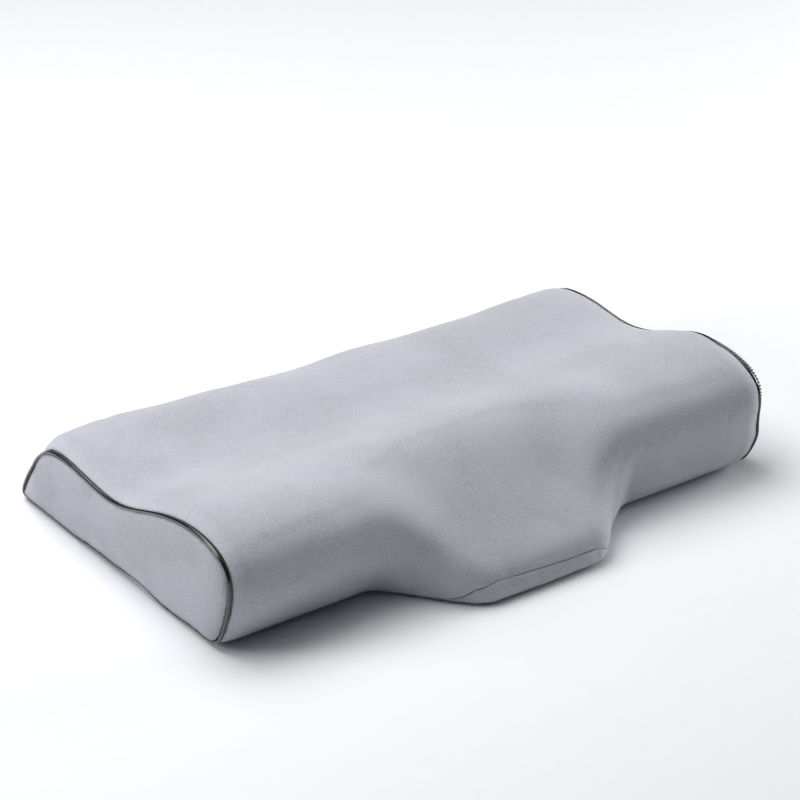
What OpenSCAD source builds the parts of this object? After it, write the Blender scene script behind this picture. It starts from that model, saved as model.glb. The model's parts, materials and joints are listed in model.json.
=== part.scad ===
// Butterfly-shaped contour pillow for neck support: a foam core in a sewn
// inner sleeve, inside a removable fabric cover with piped ends and a zip.
// Millimetres. X runs along the pillow, -Y is the front with the tongue,
// +Z is up, and the origin is the middle of the footprint on the surface.

/* [Pillow] */
// Length between the two piped end seams
seam_length = 600; // [560:5:680]
// Depth from the back edge to the end of the front tongue
full_depth = 414; // [400:2:430]
// Depth of the two wings beside the tongue
wing_depth = 363; // [350:1:372]
// Height of the high front roll
high_roll = 109; // [100:1:120]
// Height of the low back roll
low_roll = 78; // [72:1:86]
// Height of the valley between the two rolls
valley = 74; // [66:1:78]

/* [Tongue] */
// Half width of the straight middle part of the tongue
tongue_half = 56; // [45:1:65]
// Length along X over which a wing blends into the tongue
tongue_blend = 90; // [80:1:110]
// Height of the gusset seam on the front of the tongue
lip_height = 21; // [16:1:24]

/* [Ends] */
// Length along X over which the fabric rolls down to the piping
end_roll = 20; // [16:1:24]
// How far the piped seam sits inside the full section
end_inset = 2.6; // [1.5:0.1:4]
// How much the body swells just before the end roll
end_swell = 4; // [0:0.5:6]
// How far the end panels bulge past the piped seam
end_dome = 7; // [4:0.5:9]
// Diameter of the finished piping
piping_d = 4.2; // [3.6:0.1:5]
// Diameter of the filler cord inside the piping
piping_cord_d = 2.4; // [2:0.1:2.5]

/* [Fabric] */
// Thickness of the cover fabric
cover_t = 1.2; // [0.8:0.1:1.6]
// Thickness of the inner sleeve
liner_t = 0.8; // [0.5:0.1:1]
// Gap between neighbouring layers
layer_gap = 0.25; // [0.2:0.05:0.4]

/* [Zip] */
// Length of the zip opening
zip_length = 524; // [420:2:530]
// Height of the middle of the zip on the back face
zip_height = 31; // [29:1:33]
// Width of the slot in the cover over the zip
zip_slot = 11; // [10.4:0.2:12]
// Width of one zip tape
tape_w = 12; // [9:0.5:13]
// Thickness of a zip tape
tape_t = 0.5; // [0.4:0.1:0.6]
// Length of the slider body
slider_l = 12; // [10:0.5:14]
// Width of the slider body
slider_w = 9; // [8:0.2:9.6]
// Length of the pull tab past its cross bar
pull_l = 22; // [16:1:28]

/* [Hidden] */

cover_colour = [0.76, 0.76, 0.81];
end_colour = [0.71, 0.71, 0.76];
liner_colour = [0.93, 0.93, 0.91];
foam_colour = [0.96, 0.94, 0.86];
piping_colour = [0.22, 0.22, 0.24];
tape_colour = [0.66, 0.66, 0.71];
metal_colour = [0.55, 0.55, 0.58];

half_length = seam_length / 2;
back_y = full_depth / 2;
front_y = -full_depth / 2;
wing_y = back_y - wing_depth;

// ---- Section of the pillow -------------------------------------------------
// A section is a closed uniform cubic B-spline. Its control points start on
// the flat bottom, climb the back face, cross the two rolls and come down the
// front. Each row is [y, z, swell weight].

// Direction up the straight back face that carries the zip
back_slope = 57.7;
back_up = [-cos(back_slope), sin(back_slope)];
back_step = 12;
zip_mid = [back_y - 11.2, zip_height];
back_face = [for (k = [-2 : 2]) [each zip_mid + k * back_step * back_up, 0]];

bottom_back = [[150, 0, 0], [172, 0, 0], [190, 0, 0], [back_y, 1, 0]];
low_and_valley = [
    [back_y - 35, low_roll - 13, 0.5], [back_y - 56, low_roll + 1, 1],
    [back_y - 89, low_roll + 2, 1], [80, valley + 1, 1], [42, valley - 3, 1]
];
wing_front = [
    [2, valley + 8, 1], [-42, high_roll - 9, 1], [-86, high_roll + 2, 1],
    [wing_y + 29, high_roll - 2, 1], [wing_y + 2, high_roll - 18, 1],
    [wing_y - 1, high_roll * 0.57, 1], [wing_y + 8, high_roll * 0.3, 0.6],
    [wing_y + 17, 5, 0], [wing_y + 33, 0, 0], [wing_y + 58, 0, 0],
    [wing_y + 106, 0, 0], [20, 0, 0], [90, 0, 0]
];
tongue_front = [
    [2, valley + 8, 1], [-36, high_roll - 11, 1], [-72, high_roll, 1],
    [-112, high_roll - 22, 1], [-150, high_roll - 45, 1], [-184, lip_height + 23, 1],
    [front_y - 3, lip_height + 8, 1], [front_y - 2, 4, 0], [front_y + 3, 0, 0],
    [front_y + 17, 0, 0], [front_y + 57, 0, 0], [-20, 0, 0], [80, 0, 0]
];

back_half = concat(bottom_back, back_face, low_and_valley);
wing_loop = concat(back_half, wing_front);
tongue_loop = concat(back_half, tongue_front);
loop_size = len(wing_loop);

// Places on the loop, counted in control points
first_back = len(bottom_back);
u_bottom_back = 2;
u_zip = first_back + 2;
u_bottom_front = loop_size - 4.5;
u_lip = loop_size - 6.6;
zip_u_per_mm = 1 / back_step;

function smooth(s) = let(c = min(1, max(0, s))) c * c * (3 - 2 * c);

// 1 on the tongue, 0 on the wings
function tongue_weight(x) = 1 - smooth((abs(x) - tongue_half) / tongue_blend);

// 0 inboard of the end roll, 1 at the piped seam
function end_weight(x) = pow(max(0, abs(x) - half_length + end_roll) / end_roll, 2);

// Swell of the body near the ends
function swell(x) = end_swell * smooth((abs(x) - 150) / 110);

// Unit vector into the section at control point i
function inward(c, i) =
    let (
        a = c[(i + loop_size - 1) % loop_size],
        b = c[(i + 1) % loop_size],
        d = [b[0] - a[0], b[1] - a[1]] / norm([b[0] - a[0], b[1] - a[1]])
    ) [-d[1], d[0]];

// Extra depth that the inner layers keep behind the zip and the front seams
zip_recess = 2.8;
seam_recess = 2.6;
function recess(i, depth) =
    depth <= cover_t ? 0
    : i >= first_back && i < first_back + 5 ? zip_recess
    : i >= loop_size - 8 && i <= loop_size - 6 ? seam_recess : 0;

// Control points of the section at x, for a surface that lies depth inside
function section(x, depth) =
    let (
        w = tongue_weight(x),
        e = end_weight(x),
        c = (1 - w) * wing_loop + w * tongue_loop
    ) [
        for (i = [0 : loop_size - 1])
            let (out = swell(x) * c[i][2] - e * (end_inset + swell(x) * c[i][2]))
            [c[i][0], c[i][1]] + (depth + recess(i, depth) - out) * inward(c, i)
    ];

function blend4(p, q, r, s, t) =
    (pow(1 - t, 3) * p + (3 * pow(t, 3) - 6 * t * t + 4) * q
    + (-3 * pow(t, 3) + 3 * t * t + 3 * t + 1) * r + pow(t, 3) * s) / 6;

// Point [y, z] at place u on the loop through control points c
function on_loop(c, u) =
    let (n = len(c), i = floor(u), t = u - i)
    blend4(c[(i + n - 1) % n], c[i % n], c[(i + 1) % n], c[(i + 2) % n], t);

// ---- Grids -----------------------------------------------------------------
// Stations along X: the tongue blend, then the end roll
blend_steps = 6;
roll_stations = [0, 0.3, 0.6];
wing_stations = [
    for (k = [0 : blend_steps]) tongue_half + tongue_blend * k / blend_steps,
    zip_length / 2,
    for (s = roll_stations) half_length - end_roll * (1 - s)
];
cover_edge = half_length - piping_d / 2 - 0.1;
inner_edge = half_length - end_roll * (1 - roll_stations[2]);
function both_sides(xs) =
    concat([for (i = [len(xs) - 1 : -1 : 0]) -xs[i]], xs);
cover_stations = both_sides(concat(wing_stations, [half_length - end_roll * 0.2, cover_edge]));
inner_stations = both_sides(wing_stations);

// Closed solid from rows of points, each row a closed ring of equal length.
// Caps are "strip", which joins the two halves of the first and of the last row,
// or "fan", triangles round its middle, or "none", where the last row meets the
// first. From point turn_at of a ring on, four-sided patches split along their
// other diagonal.
module ring_solid(rows, caps = "strip", turn_at = 1000) {
    m = len(rows);
    n = len(rows[0]);
    last = (m - 1) * n;
    rings = caps == "none" ? m : m - 1;
    middles = caps == "fan" ? [for (row = [rows[0], rows[m - 1]]) middle(row)] : [];
    polyhedron(
        points = concat([for (row = rows) each row], middles),
        faces = concat(
            [for (j = [0 : rings - 1], i = [0 : n - 1])
                let (a = j * n, b = ((j + 1) % m) * n, k = (i + 1) % n)
                each i < turn_at ? [[a + i, b + i, b + k], [a + i, b + k, a + k]]
                    : [[a + i, b + i, a + k], [b + i, b + k, a + k]]],
            caps == "strip" ? [for (i = [0 : n / 2 - 2])
                let (k = i + 1, p = n - 2 - i, q = n - 1 - i)
                each [[i, k, p], [i, p, q],
                    [last + p, last + k, last + i], [last + q, last + p, last + i]]] : [],
            caps == "fan" ? [for (i = [0 : n - 1]) let (k = (i + 1) % n)
                each [[m * n, i, k], [m * n + 1, last + k, last + i]]] : []
        ),
        convexity = 10
    );
}
function middle(row) = [for (axis = [0 : 2]) sum([for (p = row) p[axis]]) / len(row)];
function sum(xs, i = 0) = i < len(xs) ? xs[i] + sum(xs, i + 1) : 0;

// Sheet of fabric between two grids of equal size: a ring runs out along the
// outer grid and back along the inner one, and both grids split the same way
module sheet(outer, inner) {
    ring_solid([
        for (j = [0 : len(outer) - 1])
            concat(outer[j], [for (i = [len(inner[j]) - 1 : -1 : 0]) inner[j][i]])
    ], turn_at = len(outer[0]));
}

// Grid over the stations xs, from place u0(x) to place u1(x), count steps
function grid(xs, us, depth) = [
    for (j = [0 : len(xs) - 1])
        let (c = section(xs[j], depth))
        [for (u = us[j]) [xs[j], each on_loop(c, u)]]
];
// Places from u0 to u1: the ends, and every half control point between them,
// so that neighbouring layers have matching facets
function places(u0, u1) =
    concat([u0], [for (k = [floor(u0 * 2) + 1 : ceil(u1 * 2) - 1]) k / 2], [u1]);
function even_places(u0, u1, count) = [for (i = [1 : count]) u0 + (u1 - u0) * i / count];

// Moves places that lie past a seam at u1 back to just before it, in order
seam_step = 0.03;
function stop_at(us, u1) =
    let (n = len(us)) [for (i = [0 : n - 1]) min(us[i], u1 - seam_step * (n - 1 - i))];

// Half width of the zip slot along the back face, closed past the zip's ends
function slot_half(x) =
    layer_gap / 2 + (zip_slot - layer_gap) / 2 * smooth((half_length - end_roll - abs(x))
    / (half_length - end_roll - zip_length / 2));

// Where the top cover ends at the front: at the lip on the tongue, from where
// the seam falls slowly along the flanks to the underside of the wings
function lip_share(x) = min(1, max(0, 1 - (abs(x) - tongue_half) / tongue_blend));
function u_front(x) = u_bottom_front - (u_bottom_front - u_lip) * lip_share(x);

// ---- Soft pieces -----------------------------------------------------------
liner_depth = cover_t + layer_gap;
foam_depth = liner_depth + liner_t + layer_gap;

module cover_top() color(cover_colour) {
    us = [for (x = cover_stations) stop_at(
        places(u_zip + slot_half(x) * zip_u_per_mm, u_bottom_front), u_front(x))];
    sheet(grid(cover_stations, us, 0), grid(cover_stations, us, cover_t));
}

module cover_back_band() color(cover_colour) {
    us = [for (x = cover_stations)
        places(u_bottom_back, u_zip - slot_half(x) * zip_u_per_mm)];
    sheet(grid(cover_stations, us, 0), grid(cover_stations, us, cover_t));
}

// Long lens-shaped strip round the front of the tongue, below the lip seam
module front_gusset() color(cover_colour) {
    xs = both_sides([for (k = [0 : blend_steps - 1])
        tongue_half + k * tongue_blend / blend_steps]);
    us = [for (x = xs) let (u = u_front(x) + 0.02)
        concat([u], even_places(u, u_bottom_front, 4))];
    sheet(grid(xs, us, 0), grid(xs, us, cover_t));
}

// Outline of the flat bottom between the front and the back seam
function footprint(margin, ends) = concat(
    [for (x = ends) [x, on_loop(section(x, 0), u_bottom_front)[0] + margin]],
    [for (i = [len(ends) - 1 : -1 : 0])
        [ends[i], on_loop(section(ends[i], 0), u_bottom_back)[0] - margin]]
);
bottom_stations = both_sides(concat(
    [for (k = [0 : blend_steps]) tongue_half + tongue_blend * k / blend_steps],
    [half_length - end_roll * 0.2]
));

module cover_bottom() color(cover_colour)
    linear_extrude(cover_t) polygon(footprint(0.15, bottom_stations));

module liner_top() color(liner_colour) {
    us = [for (x = inner_stations) places(u_bottom_back, u_bottom_front)];
    sheet(grid(inner_stations, us, liner_depth),
        grid(inner_stations, us, liner_depth + liner_t));
}

module liner_bottom() color(liner_colour)
    translate([0, 0, liner_depth]) linear_extrude(liner_t)
        polygon(footprint(0.4, bottom_stations));

// Ring of points on a dome that closes an end of the section at rim_x.
// Share 1 is the rim and share 0 the middle of the end.
end_middle = [10, 45];
function dome_ring(rim_x, depth, share, rise, side) =
    let (c = section(rim_x, depth)) [
        for (k = [0 : loop_size * 2 - 1])
            let (p = end_middle + share * (on_loop(c, k / 2) - end_middle))
            [side * (rim_x + rise), p[0], p[1]]
    ];

// Closed sheet from the inner dome's middle out to the rim and back over the
// outer dome. Both are lists of [depth, share, rise].
module end_sheet(rim_x, inner, outer, side) {
    rows = [for (r = concat(inner, outer)) dome_ring(rim_x, r[0], r[1], r[2], side)];
    ring_solid(side > 0 ? rows : reversed(rows), caps = "fan");
}
dome_shares = [0.1, 0.6, 0.88, 1];
function reversed(xs) = [for (i = [len(xs) - 1 : -1 : 0]) xs[i]];

panel_rim = piping_d / 2 + 0.7;
function round_rise(height, s) = height * sqrt(1 - s * s);
module end_panel(side) color(end_colour)
    end_sheet(half_length,
        [for (s = dome_shares) [panel_rim + cover_t, s, round_rise(end_dome, s) - cover_t]],
        [for (s = reversed(dome_shares)) [panel_rim, s, round_rise(end_dome, s)]],
        side);

// The inner layers bulge by a parabola, which keeps them off the piping
inner_bulge = end_dome + half_length - inner_edge - cover_t - layer_gap;
function flat_rise(height, s) = height * (1 - s * s);
liner_rim = liner_depth + liner_t + 0.1;
module liner_end(side) color(liner_colour)
    end_sheet(inner_edge,
        [for (s = dome_shares) [liner_rim + liner_t, s, flat_rise(inner_bulge, s) - liner_t]],
        [for (s = reversed(dome_shares)) [liner_rim, s, flat_rise(inner_bulge, s)]],
        side);

module foam_core() color(foam_colour) {
    foam_bulge = inner_bulge - liner_t - layer_gap;
    cap = [for (s = dome_shares)
        [foam_depth + liner_t, s, flat_rise(foam_bulge, s) - liner_t - 0.1]];
    shoulder = inner_edge - liner_t - 0.2;
    body_stations = both_sides([for (x = wing_stations) min(x, shoulder)]);
    ring_solid(concat(
        [for (r = cap) dome_ring(inner_edge, r[0], r[1], r[2], -1)],
        [for (x = body_stations) let (c = section(x, foam_depth))
            [for (k = [0 : loop_size * 2 - 1]) [x, each on_loop(c, k / 2)]]],
        [for (r = reversed(cap)) dome_ring(inner_edge, r[0], r[1], r[2], 1)]
    ), caps = "fan");
}

// ---- Piping ----------------------------------------------------------------
// Sweeps a profile round the end seam. A profile point is [out, x]: out of
// the section, and away from the pillow's middle along X.
piping_depth = 0.4;
module round_end(profile, side) {
    c = section(half_length, piping_depth);
    rows = [
        for (k = [0 : loop_size * 2 - 1])
            let (
                u = k / 2,
                p = on_loop(c, u),
                d = on_loop(c, u + 0.02) - on_loop(c, u + loop_size - 0.02),
                out = [d[1], -d[0]] / norm(d)
            )
            [for (q = profile) [side * (half_length + q[1]), each p + q[0] * out]]
    ];
    ring_solid(side > 0 ? rows : reversed(rows), caps = "none");
}
function arc(r, from, to, count) =
    [for (i = [0 : count]) let (a = from + (to - from) * i / count) r * [cos(a), sin(a)]];

module piping_cord(side) color(piping_colour)
    round_end(arc(piping_cord_d / 2, 0, -315, 7), side);

// Bias strip folded round the cord, with its two edges sewn into the seam
strip_t = 0.5;
seam_tail = 1.4;
module piping_binding(side) color(piping_colour) {
    r = piping_d / 2;
    tail = [
        [-r - seam_tail, -strip_t - 0.05], [-r - seam_tail, -0.05],
        each arc(r - strip_t, -176, 176, 6),
        [-r - seam_tail, 0.05], [-r - seam_tail, strip_t + 0.05]
    ];
    flat_profile = concat(arc(r, 164, -164, 6), tail);
    turn = 45;
    round_end([for (q = flat_profile)
        [q[0] * cos(turn) - q[1] * sin(turn), q[0] * sin(turn) + q[1] * cos(turn)]], side);
}

// ---- Zip -------------------------------------------------------------------
// Local frame on the back face: x along the zip, y down the face, z outward,
// with z = 0 on the outside of the cover
module on_back_face()
    translate([0, zip_mid[0], zip_mid[1]]) rotate([-back_slope, 0, 0]) children();

tape_gap = 1.4;
tape_top = -cover_t - 0.15;
coil_w = 2.2;
coil_h = 1.9;
half_zip = zip_length / 2;
stop_l = 2;
bottom_stop_l = 4;
play = 0.5;
slider_x = half_zip - stop_l - play - slider_l / 2;

// side is -1 for the upper half of the zip and 1 for the lower half
module zip_tape(side) color(tape_colour) on_back_face()
    translate([-half_zip - 8, side > 0 ? tape_gap / 2 : -tape_gap / 2 - tape_w,
        tape_top - tape_t])
        cube([zip_length + 16, tape_w, tape_t]);

module zip_coil(side) color(tape_colour) on_back_face()
    translate([-half_zip + bottom_stop_l + 0.1, side * (tape_gap / 2 + coil_w / 2),
        tape_top + 0.05 + coil_h / 2])
        rotate([90, 0, 90]) linear_extrude(zip_length - stop_l - bottom_stop_l - 0.2) {
            square([coil_w - coil_h, coil_h], center = true);
            for (s = [-1, 1]) translate([s * (coil_w - coil_h) / 2, 0])
                circle(d = coil_h, $fn = 32);
        }

module zip_end_stops() color(metal_colour) on_back_face() {
    stop_h = 1.9;
    for (side = [-1, 1])
        translate([half_zip - stop_l, side * (tape_gap / 2 + coil_w / 2) - coil_w / 2,
            tape_top + 0.05])
            cube([stop_l, coil_w, stop_h]);
    translate([-half_zip, -tape_gap / 2 - coil_w, tape_top + 0.05])
        cube([bottom_stop_l, tape_gap + 2 * coil_w, stop_h]);
}

// Slider: two plates held apart by a thin wedge, with rims over the coils and
// an arch that holds the pull's cross bar
plate_t = 1.2;
top_plate_z = 0.9;
low_plate_z = tape_top - tape_t - 0.4 - plate_t;
rim_w = 1.2;
wedge_l = 3;
wedge_w = 0.8;
arch_r = 2.1;
arch_w = 2.4;
bar_r = 0.8;
bar_hole_r = 1.15;
bar_z = top_plate_z + plate_t + bar_hole_r + 0.15;

module round_plate(l, w, t, r) {
    translate([-l / 2 + r, -w / 2, 0]) cube([l - 2 * r, w, t]);
    translate([-l / 2, -w / 2 + r, 0]) cube([l, w - 2 * r, t]);
    for (sx = [-1, 1], sy = [-1, 1])
        translate([sx * (l / 2 - r), sy * (w / 2 - r), 0]) cylinder(h = t, r = r, $fn = 48);
}

module zip_slider() color(metal_colour) on_back_face() translate([slider_x, 0, 0])
    difference() {
        union() {
            translate([0, 0, top_plate_z]) round_plate(slider_l, slider_w, plate_t, 2);
            translate([0, 0, low_plate_z]) round_plate(slider_l, slider_w, plate_t, 2);
            for (side = [-1, 1])
                translate([-slider_l / 2 + 2, side * (slider_w - rim_w) / 2 - rim_w / 2,
                    tape_top + 0.35])
                    cube([slider_l - 4, rim_w, top_plate_z - tape_top - 0.3]);
            translate([slider_l / 2 - wedge_l, -wedge_w / 2, low_plate_z + 0.1])
                cube([wedge_l, wedge_w, top_plate_z - low_plate_z]);
            translate([0, arch_w / 2, bar_z]) rotate([90, 0, 0])
                cylinder(h = arch_w, r = arch_r, $fn = 64);
        }
        translate([0, arch_w, bar_z]) rotate([90, 0, 0])
            cylinder(h = 2 * arch_w, r = bar_hole_r, $fn = 64);
    }

// Pull: a tab with a window, whose cross bar runs through the slider's arch
tab_w = 6.8;
tab_t = 1.4;
window_w = 4;
window_l = 5;
module zip_pull() color(metal_colour) on_back_face()
    translate([slider_x, 0, bar_z]) {
        rotate([90, 0, 0]) cylinder(h = window_w + 1, r = bar_r, center = true, $fn = 48);
        difference() {
            union() {
                translate([-pull_l + tab_w / 2, -tab_w / 2, -tab_t / 2])
                    cube([pull_l - tab_w / 2, tab_w, tab_t]);
                translate([-pull_l + tab_w / 2, 0, -tab_t / 2])
                    cylinder(h = tab_t, d = tab_w, $fn = 64);
                rotate([90, 0, 0]) cylinder(h = tab_w, d = tab_t, center = true, $fn = 48);
            }
            translate([-window_l, -window_w / 2, -tab_t])
                cube([window_l + tab_t, window_w, 2 * tab_t]);
        }
    }

foam_core();
liner_top();
liner_bottom();
liner_end(-1);  // liner_left_end
liner_end(1);  // liner_right_end
cover_top();
cover_bottom();
cover_back_band();
front_gusset();
end_panel(-1);  // left_end_panel
end_panel(1);  // right_end_panel
piping_cord(-1);  // left_piping_cord
piping_cord(1);  // right_piping_cord
piping_binding(-1);  // left_piping_binding
piping_binding(1);  // right_piping_binding
zip_tape(-1);  // zip_tape_upper
zip_tape(1);  // zip_tape_lower
zip_coil(-1);  // zip_coil_upper
zip_coil(1);  // zip_coil_lower
zip_end_stops();
zip_slider();
zip_pull();
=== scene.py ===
import json
import math

import bmesh
import bpy
import numpy as np
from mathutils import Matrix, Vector

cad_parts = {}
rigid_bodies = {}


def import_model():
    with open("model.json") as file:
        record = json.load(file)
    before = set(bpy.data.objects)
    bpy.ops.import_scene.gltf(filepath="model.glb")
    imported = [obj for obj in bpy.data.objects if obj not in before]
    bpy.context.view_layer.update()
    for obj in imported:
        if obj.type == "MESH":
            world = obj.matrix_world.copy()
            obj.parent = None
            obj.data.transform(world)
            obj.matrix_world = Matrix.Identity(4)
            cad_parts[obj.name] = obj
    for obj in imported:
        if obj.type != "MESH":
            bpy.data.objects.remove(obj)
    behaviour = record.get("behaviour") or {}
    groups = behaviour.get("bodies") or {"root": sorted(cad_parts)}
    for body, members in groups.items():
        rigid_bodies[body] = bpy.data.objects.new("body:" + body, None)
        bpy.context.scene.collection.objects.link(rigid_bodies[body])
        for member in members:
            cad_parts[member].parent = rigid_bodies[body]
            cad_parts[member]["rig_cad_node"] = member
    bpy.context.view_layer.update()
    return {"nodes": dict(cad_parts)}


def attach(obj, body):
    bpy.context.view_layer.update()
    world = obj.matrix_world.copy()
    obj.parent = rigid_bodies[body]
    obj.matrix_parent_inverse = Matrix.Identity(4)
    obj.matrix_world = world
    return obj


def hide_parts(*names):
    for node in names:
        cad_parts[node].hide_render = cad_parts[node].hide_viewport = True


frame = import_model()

MM = 0.001

# ---- Camera ----------------------------------------------------------------


def make_camera():
    azimuth, elevation, distance = math.radians(-35.84), math.radians(27.57), 3.148
    target = Vector((0.0820, 0.1311, 0.0182))
    back = Vector((
        math.sin(azimuth) * math.cos(elevation),
        -math.cos(azimuth) * math.cos(elevation),
        math.sin(elevation),
    ))
    camera = bpy.data.objects.new("camera", bpy.data.cameras.new("camera"))
    bpy.context.collection.objects.link(camera)
    camera.location = target + back * distance
    camera.rotation_mode = "QUATERNION"
    camera.rotation_quaternion = (-back).to_track_quat("-Z", "Y")
    camera.data.lens = 144
    camera.data.sensor_width = 36
    bpy.context.scene.camera = camera


make_camera()

# ---- Shape of the pillow, as in the CAD model ------------------------------
# Everything up to the meshes is in millimetres. A section is a closed uniform
# cubic B-spline in (y, z), and u is a place on it, counted in control points.
# Rows are (y, z, swell weight).
HALF_LENGTH = 300.0
BACK_Y, FRONT_Y = 207.0, -207.0
WING_Y = BACK_Y - 363.0
HIGH_ROLL, LOW_ROLL, VALLEY = 109.0, 78.0, 74.0
TONGUE_HALF, TONGUE_BLEND, LIP = 56.0, 90.0, 21.0
CREST_HALF, CREST_BLEND, CREST_LIFT = 20.0, 150.0, 4.0
END_ROLL, END_INSET, END_SWELL, END_DOME = 20.0, 2.6, 4.0, 7.0
SWELL_FROM, SWELL_BLEND = 150.0, 110.0
RIGHT_FULLNESS, RIGHT_BLEND = 0.18, 200.0
COVER_T, LINER_T, LAYER_GAP = 1.2, 0.8, 0.25
LINER_DEPTH = COVER_T + LAYER_GAP
FOAM_DEPTH = LINER_DEPTH + LINER_T + LAYER_GAP
PIPING_R, PIPING_DEPTH = 1.8, 0.4
ZIP_SLOT, BACK_STEP = 11.0, 12.0
BACK_SLOPE = math.radians(57.7)
BACK_UP = np.array((-math.cos(BACK_SLOPE), math.sin(BACK_SLOPE)))
ZIP_MID = np.array((BACK_Y - 11.2, 31.0))
ZIP_RECESS, SEAM_RECESS = 2.8, 2.6

bottom_back = [(150, 0, 0), (172, 0, 0), (190, 0, 0), (BACK_Y, 1, 0)]
back_face = [(*(ZIP_MID + k * BACK_STEP * BACK_UP), 0) for k in range(-2, 3)]
rolls = [
    (BACK_Y - 35, LOW_ROLL - 13, 0.5), (BACK_Y - 56, LOW_ROLL + 1, 1),
    (BACK_Y - 89, LOW_ROLL + 2, 1), (80, VALLEY + 1, 1), (42, VALLEY - 3, 1),
]
wing_front = [
    (2, VALLEY + 8, 1), (-42, HIGH_ROLL - 9, 1), (-86, HIGH_ROLL + 2, 1),
    (WING_Y + 29, HIGH_ROLL - 2, 1), (WING_Y + 2, HIGH_ROLL - 18, 1),
    (WING_Y - 1, HIGH_ROLL * 0.57, 1), (WING_Y + 8, HIGH_ROLL * 0.3, 0.6),
    (WING_Y + 17, 5, 0), (WING_Y + 33, 0, 0), (WING_Y + 58, 0, 0),
    (WING_Y + 106, 0, 0), (20, 0, 0), (90, 0, 0),
]
tongue_front = [
    (2, VALLEY + 8, 1), (-36, HIGH_ROLL - 11, 1), (-72, HIGH_ROLL, 1),
    (-112, HIGH_ROLL - 22, 1), (-150, HIGH_ROLL - 45, 1), (-184, LIP + 23, 1),
    (FRONT_Y - 3, LIP + 8, 1), (FRONT_Y - 2, 4, 0), (FRONT_Y + 3, 0, 0),
    (FRONT_Y + 17, 0, 0), (FRONT_Y + 57, 0, 0), (-20, 0, 0), (80, 0, 0),
]
WING = np.array(bottom_back + back_face + rolls + wing_front, float)
TONGUE = np.array(bottom_back + back_face + rolls + tongue_front, float)
COUNT = len(WING)
ZIP_ROW = len(bottom_back)
FRONT_ROW = ZIP_ROW + len(back_face) + len(rolls)
# How much deeper the inner layers lie behind the zip and the lip seam
RECESS = np.zeros(COUNT)
RECESS[ZIP_ROW:ZIP_ROW + len(back_face)] = ZIP_RECESS
RECESS[FRONT_ROW + 5:FRONT_ROW + 8] = SEAM_RECESS
# How far each row follows the crest's longer fade, and how much it is lifted there
HIGH_SHARE = np.zeros(COUNT)
HIGH_SHARE[FRONT_ROW:FRONT_ROW + 4] = (0.7, 0.7, 0.7, 0.35)
CREST_SHARE = np.zeros(COUNT)
CREST_SHARE[FRONT_ROW + 2:FRONT_ROW + 4] = (0.4, 1.0)
U_BOTTOM_BACK, U_ZIP = 2.0, 6.0
U_BOTTOM_FRONT, U_LIP = COUNT - 4.5, COUNT - 6.6


def smooth(s):
    c = np.clip(s, 0, 1)
    return c * c * (3 - 2 * c)


def hump(v, middle, reach):
    """1 at the middle, falling smoothly to 0 at a distance of reach."""
    return smooth(1 - np.abs(v - middle) / reach)


def tongue_weight(x):
    """1 across the tongue, falling to 0 on the wings."""
    return 1 - smooth((np.abs(x) - TONGUE_HALF) / TONGUE_BLEND)


def end_weight(x):
    """0 up to where the skin rolls in at an end, rising to 1 at the seam."""
    return (np.maximum(0, np.abs(x) - HALF_LENGTH + END_ROLL) / END_ROLL) ** 2


def swell(x):
    """How far the skin stands proud towards the ends."""
    return END_SWELL * smooth((np.abs(x) - SWELL_FROM) / SWELL_BLEND)


def section(x, depth=0.0):
    """Control points (n, COUNT, 2) of the section at each x, depth inside the outer skin.
    High on the roll the tongue fades in over a longer stretch, and its crest is fuller.
    The right end is pulled in less than the left."""
    x = np.atleast_1d(x).astype(float)
    w = tongue_weight(x)[:, None, None]
    wide = 1 - smooth((np.abs(x)[:, None, None] - CREST_HALF) / CREST_BLEND)
    high = HIGH_SHARE[:, None]
    w = (1 - high) * w + high * wide
    c = (1 - w) * WING + w * TONGUE
    c[..., 1] += CREST_LIFT * w[..., 0] * CREST_SHARE
    d = np.roll(c, -1, 1)[..., :2] - np.roll(c, 1, 1)[..., :2]
    d /= np.linalg.norm(d, axis=-1, keepdims=True)
    inward = np.stack([-d[..., 1], d[..., 0]], -1)
    lift = swell(x)[:, None] * c[..., 2]
    pulled_in = end_weight(x) * (1 - RIGHT_FULLNESS * smooth(x / RIGHT_BLEND))
    out = lift - pulled_in[:, None] * (END_INSET + lift)
    deep = depth + (RECESS if depth > COVER_T else 0)
    return c[..., :2] + (deep - out)[..., None] * inward


def on_loop(c, u):
    """Points (n, m, 2) at places u (n, m) on the loops with control points c (n, COUNT, 2)."""
    i = np.floor(u).astype(int)
    t = (u - i)[..., None]
    rows = np.arange(len(c))[:, None]
    p, q, r, s = (c[rows, (i + k) % COUNT] for k in (-1, 0, 1, 2))
    return (
        (1 - t) ** 3 * p + (3 * t**3 - 6 * t * t + 4) * q
        + (-3 * t**3 + 3 * t * t + 3 * t + 1) * r + t**3 * s
    ) / 6


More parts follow.
